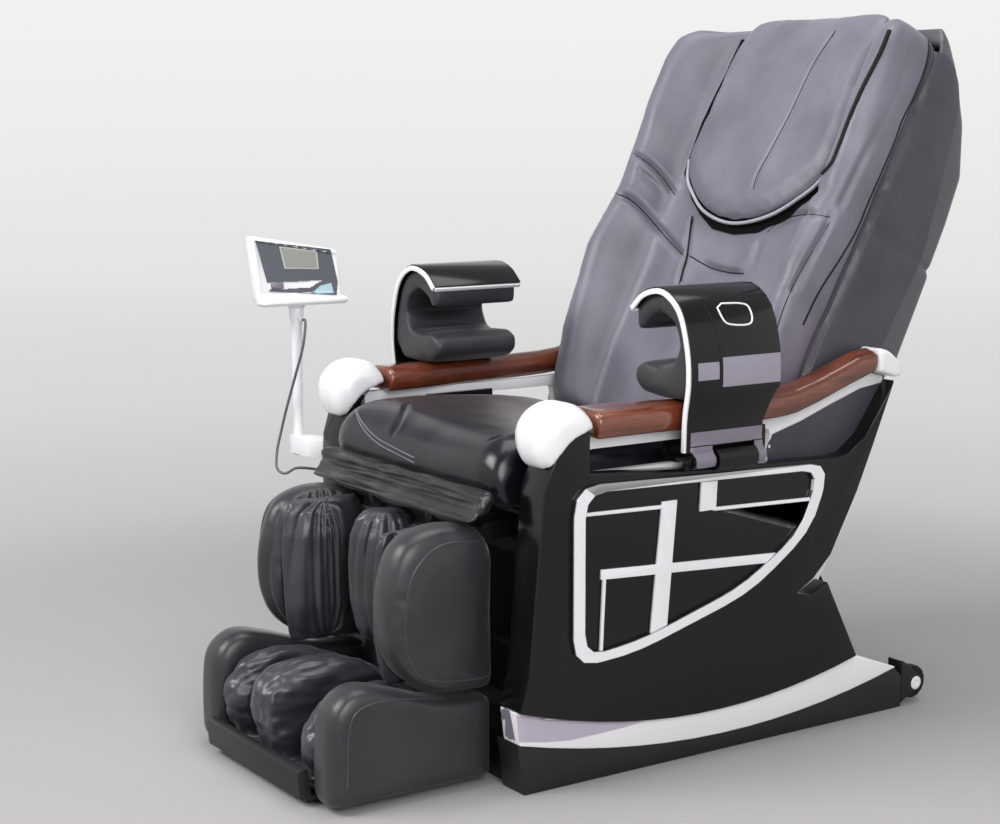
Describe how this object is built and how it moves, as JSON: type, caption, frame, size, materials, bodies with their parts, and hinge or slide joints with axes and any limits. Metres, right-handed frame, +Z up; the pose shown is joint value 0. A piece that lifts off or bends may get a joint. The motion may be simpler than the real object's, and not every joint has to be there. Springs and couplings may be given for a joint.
{
  "type": "massage chair",
  "caption": "Reclining massage chair with padded back and head pillow, hinged legrest and footrest, wooden armrests with forearm cuffs, and a handset on a side pole.",
  "frame": {"origin": "on the floor under the middle of the base, in the chair's plane of symmetry", "axes": "+Z up, -Y the way the sitter faces, +X towards the sitter's left"},
  "size_m": [0.8545, 1.256, 1.2319],
  "materials": {
    "black_gloss": "polished piano black",
    "black_satin": "satin black moulding",
    "white_gloss": "glossy white moulding",
    "roller_plastic": "smooth white nylon",
    "armrest_wood": "lacquered reddish mahogany",
    "silver_trim": "satin silver",
    "bright_steel": "ground and plated",
    "frame_steel": "dark grey paint",
    "back_leather": "soft grey-violet synthetic leather",
    "seat_leather": "glossy black synthetic leather",
    "leg_leather": "charcoal synthetic leather",
    "cuff_leather": "matte dark lining",
    "grey_plastic": "satin mid grey",
    "wheel_rubber": "matte",
    "cable_rubber": "matte"
  },
  "bodies": {
    "base": {"side_panel_L": "black_gloss", "side_panel_R": "black_gloss", "base_skirt": "black_satin", "rear_cover": "black_satin", "power_inlet": "black_satin", "wheel_bracket_L": "black_satin", "wheel_bracket_R": "black_satin", "air_pump": "black_satin", "sweep_band_L": "white_gloss", "sweep_band_R": "white_gloss", "side_shell_L": "white_gloss", "side_shell_R": "white_gloss", "front_cap_L": "white_gloss", "front_cap_R": "white_gloss", "rear_cap_L": "white_gloss", "rear_cap_R": "white_gloss", "remote_pole": "white_gloss", "arm_wood_L": "armrest_wood", "arm_wood_R": "armrest_wood", "window_trim_L": "silver_trim", "window_trim_R": "silver_trim", "chassis": "frame_steel", "back_actuator": "frame_steel", "leg_actuator": "frame_steel", "seat_cushion": "seat_leather", "seat_apron": "leg_leather", "control_box": "grey_plastic", "remote_cable": "cable_rubber", "cable_boot": "cable_rubber"},
    "backrest": {"back_frame": "frame_steel", "back_shell": "black_satin", "back_pad": "back_leather"},
    "pillow": {"head_pillow": "back_leather"},
    "screw": {"lead_screw": "bright_steel"},
    "carriage": {"massage_carriage": "grey_plastic"},
    "roller_lower": {"roller_pair_lower": "roller_plastic"},
    "roller_upper": {"roller_pair_upper": "roller_plastic"},
    "legrest": {"leg_frame": "frame_steel", "calf_shell_L": "leg_leather", "calf_shell_R": "leg_leather", "calf_bag_L": "leg_leather", "calf_bag_R": "leg_leather", "calf_centre": "leg_leather"},
    "footrest": {"foot_tray": "black_satin", "foot_shell_L": "leg_leather", "foot_shell_R": "leg_leather", "foot_liner": "leg_leather"},
    "slider_left": {"cuff_slider_L": "grey_plastic"},
    "slider_right": {"cuff_slider_R": "grey_plastic"},
    "cuff_left": {"cuff_shell_L": "black_gloss", "cuff_pad_L": "cuff_leather"},
    "cuff_right": {"cuff_shell_R": "black_gloss", "cuff_pad_R": "cuff_leather"},
    "handset_head": {"handset": "white_gloss"},
    "key": {"handset_key": "grey_plastic"},
    "rocker": {"power_rocker": "black_satin"},
    "wheel_left": {"wheel_L": "wheel_rubber"},
    "wheel_right": {"wheel_R": "wheel_rubber"},
    "back_rod": {"back_actuator_rod": "bright_steel"},
    "leg_rod": {"leg_actuator_rod": "bright_steel"}
  },
  "joints": [
    {"name": "backrest_recline", "type": "hinge", "parent": "base", "child": "backrest", "pos_m": [0, 0.17, 0.4], "axis": [-1, 0, 0], "range_deg": [0, 42]},
    {"name": "head_pillow_flip", "type": "hinge", "parent": "backrest", "child": "pillow", "pos_m": [0, 0.4607, 1.2025], "axis": [-1, 0, 0], "range_deg": [0, 90]},
    {"name": "carriage_slide", "type": "slide", "parent": "backrest", "child": "carriage", "axis": [0, 0.4695, 0.8829], "range_m": [-0.17, 0.17]},
    {"name": "lead_screw_spin", "type": "hinge", "parent": "backrest", "child": "screw", "pos_m": [0, 0.18766, 0.39061], "axis": [0, 0.4695, 0.8829], "range_deg": [-3100, 3100]},
    {"name": "roller_spin_lower", "type": "hinge", "parent": "carriage", "child": "roller_lower", "pos_m": [0, 0.26151, 0.69565], "axis": [1, 0, 0], "continuous": true},
    {"name": "roller_spin_upper", "type": "hinge", "parent": "carriage", "child": "roller_upper", "pos_m": [0, 0.3047, 0.77688], "axis": [1, 0, 0], "continuous": true},
    {"name": "legrest_lift", "type": "hinge", "parent": "base", "child": "legrest", "pos_m": [0, -0.43, 0.415], "axis": [-1, 0, 0], "range_deg": [0, 75], "deforming": ["seat_apron"]},
    {"name": "footrest_slide", "type": "slide", "parent": "legrest", "child": "footrest", "axis": [0, 0, -1], "range_m": [0, 0.1]},
    {"name": "cuff_slide_left", "type": "slide", "parent": "base", "child": "slider_left", "axis": [0, 1, 0], "range_m": [-0.08, 0]},
    {"name": "cuff_slide_right", "type": "slide", "parent": "base", "child": "slider_right", "axis": [0, 1, 0], "range_m": [0, 0.08]},
    {"name": "cuff_swing_left", "type": "hinge", "parent": "slider_left", "child": "cuff_left", "pos_m": [0.376, -0.06, 0.51], "axis": [0, 1, 0], "range_deg": [0, 50]},
    {"name": "cuff_swing_right", "type": "hinge", "parent": "slider_right", "child": "cuff_right", "pos_m": [-0.376, -0.141, 0.51], "axis": [0, -1, 0], "range_deg": [0, 50]},
    {"name": "handset_swivel", "type": "hinge", "parent": "base", "child": "handset_head", "pos_m": [-0.42, -0.408, 0.7], "axis": [0, 0, 1], "range_deg": [-110, 40]},
    {"name": "handset_key_press", "type": "slide", "parent": "handset_head", "child": "key", "axis": [-0.9962, 0.0872, 0], "range_m": [0, 0.0012], "stiffness_N_per_m": 900},
    {"name": "power_rocker_tilt", "type": "hinge", "parent": "base", "child": "rocker", "pos_m": [0.195, 0.30147, 0.07841], "axis": [1, 0, 0], "range_deg": [-5, 5]},
    {"name": "wheel_spin_left", "type": "hinge", "parent": "base", "child": "wheel_left", "pos_m": [0.285, 0.446, 0.038], "axis": [1, 0, 0], "continuous": true},
    {"name": "wheel_spin_right", "type": "hinge", "parent": "base", "child": "wheel_right", "pos_m": [-0.285, 0.446, 0.038], "axis": [1, 0, 0], "continuous": true},
    {"name": "back_rod_slide", "type": "slide", "parent": "base", "child": "back_rod", "axis": [0, -0.6561, 0.7547], "range_m": [0, 0.058]},
    {"name": "leg_rod_slide", "type": "slide", "parent": "base", "child": "leg_rod", "axis": [0, -0.999, -0.0436], "range_m": [0, 0.0555]}
  ],
  "couplings": [
    {"joint": "lead_screw_spin", "follows": "carriage_slide", "rad_per_m": 314.16},
    {"joint": "back_rod_slide", "follows": "backrest_recline", "m_per_rad": 0.078221},
    {"joint": "leg_rod_slide", "follows": "legrest_lift", "m_per_rad": 0.041855}
  ]
}
